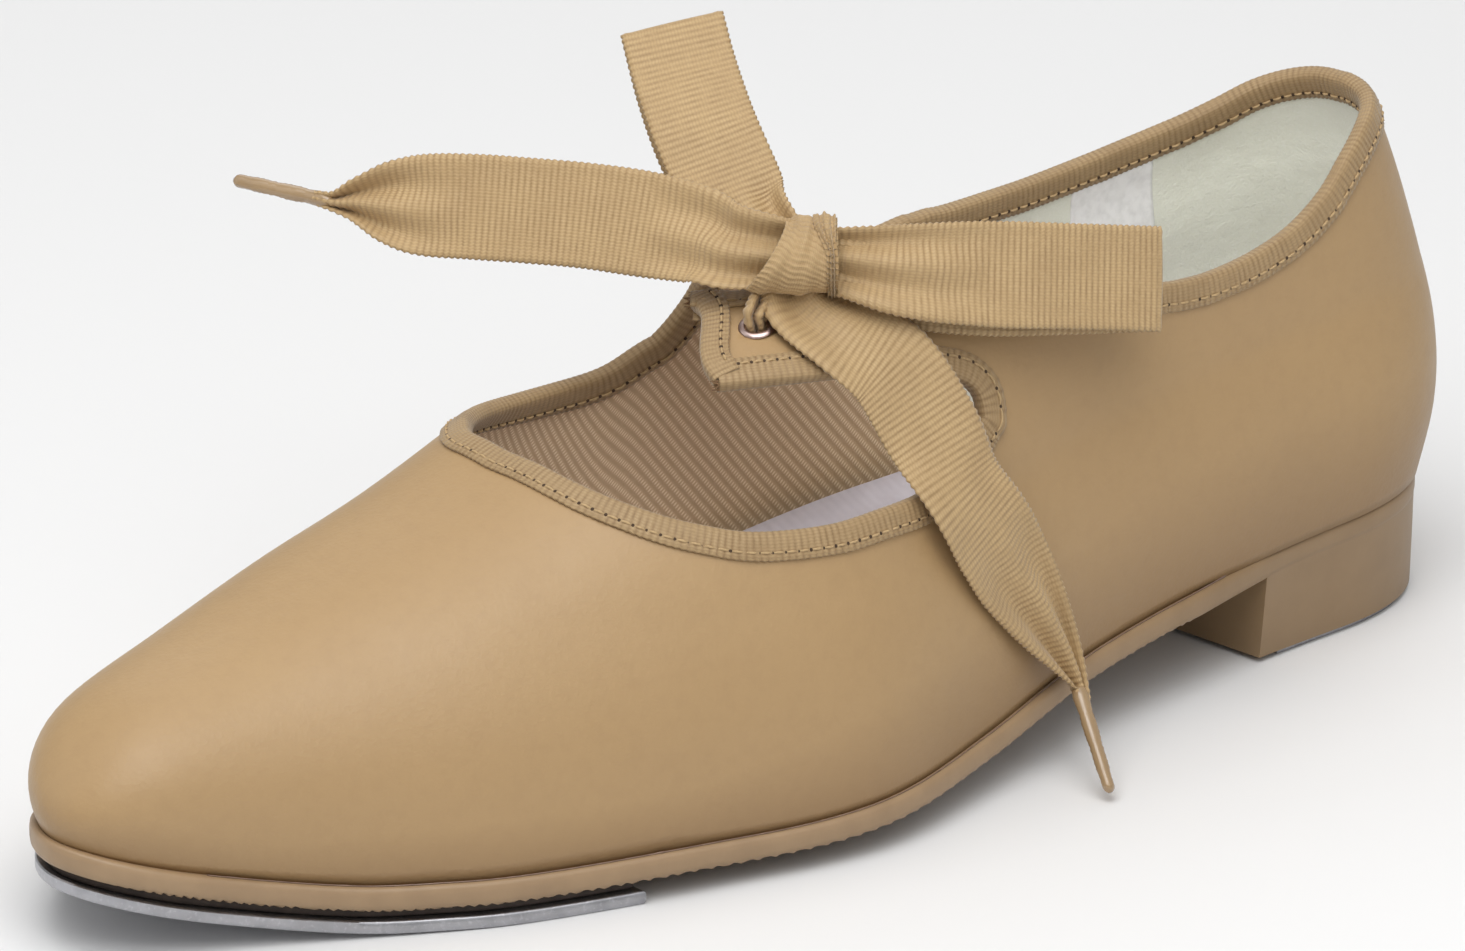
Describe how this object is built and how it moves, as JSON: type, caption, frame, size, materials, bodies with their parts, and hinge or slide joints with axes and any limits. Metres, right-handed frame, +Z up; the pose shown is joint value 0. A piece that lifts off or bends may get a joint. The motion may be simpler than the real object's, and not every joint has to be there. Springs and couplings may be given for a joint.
{
  "type": "tap shoe",
  "caption": "Low-cut tan tap shoe with a cut-out front, two instep tabs tied with one wide ribbon, moulded sole and heel, and metal toe and heel taps.",
  "frame": {"origin": "on the floor, mid-length and mid-width of the shoe without its ribbon", "axes": "+Z up, toe towards -Y, lateral (outer) side towards +X; taps standing on Z = 0"},
  "size_m": [0.1262, 0.2614, 0.1098],
  "materials": {
    "upper": "smooth, soft gloss",
    "twill_lining": "matte twill",
    "felt_lining": "matte felt",
    "stiffener": "matte",
    "binding_tape": "matte, crosswise ribs",
    "thread": "matte thread",
    "eyelet_metal": "copper-toned, polished",
    "board": "matte fibreboard",
    "shank_steel": "plain",
    "sock_foam": "matte, faint ribs",
    "label": "matte, blank",
    "sole": "satin, fine ribs on the tread",
    "backing": "matte",
    "tap_metal": "cast, worn edges",
    "screw_steel": "plain",
    "ribbon": "satin grosgrain",
    "aglet_film": "clear film over ribbon"
  },
  "bodies": {
    "shoe": {"upper": "upper", "vamp_lining": "twill_lining", "heel_lining": "felt_lining", "toe_puff": "stiffener", "heel_counter": "stiffener", "front_binding": "binding_tape", "collar_binding": "binding_tape", "lateral_tab_binding": "binding_tape", "medial_tab_binding": "binding_tape", "front_binding_stitching": "thread", "collar_binding_stitching": "thread", "lateral_eyelet": "eyelet_metal", "medial_eyelet": "eyelet_metal", "lateral_eyelet_washer": "eyelet_metal", "medial_eyelet_washer": "eyelet_metal", "insole_board": "board", "shank": "shank_steel", "sock": "sock_foam", "size_label": "label", "outsole": "sole", "toe_tap_backing": "backing", "toe_tap": "tap_metal", "toe_tap_screws": "screw_steel", "heel_tap": "tap_metal", "heel_tap_screws": "screw_steel", "ribbon_lacing": "ribbon", "ribbon_knot": "ribbon"},
    "front_tail": {"front_tail": "ribbon", "front_aglet": "aglet_film"},
    "side_tail": {"side_tail": "ribbon", "side_aglet": "aglet_film"},
    "upper_loop": {"upper_loop": "ribbon"},
    "rear_loop": {"rear_loop": "ribbon"}
  },
  "joints": [
    {"name": "front_tail_bend", "type": "hinge", "parent": "shoe", "child": "front_tail", "pos_m": [0.0043, -0.0055, 0.0842], "axis": [-0.289, 0.243, 0.926], "range_deg": [-5, 25], "stiffness_Nm_per_rad": 0.01},
    {"name": "upper_loop_bend", "type": "hinge", "parent": "shoe", "child": "upper_loop", "pos_m": [-0.0022, 0.0014, 0.0859], "axis": [0.5863, 0.7964, 0.1481], "range_deg": [-15, 10], "stiffness_Nm_per_rad": 0.01},
    {"name": "rear_loop_bend", "type": "hinge", "parent": "shoe", "child": "rear_loop", "pos_m": [0.0136, 0.005, 0.0842], "axis": [-0.289, 0.243, 0.926], "range_deg": [-20, 6], "stiffness_Nm_per_rad": 0.01},
    {"name": "side_tail_lift", "type": "hinge", "parent": "shoe", "child": "side_tail", "pos_m": [0.012, -0.0006, 0.0782], "axis": [-0.597, -0.6965, -0.398], "range_deg": [0, 40]}
  ]
}
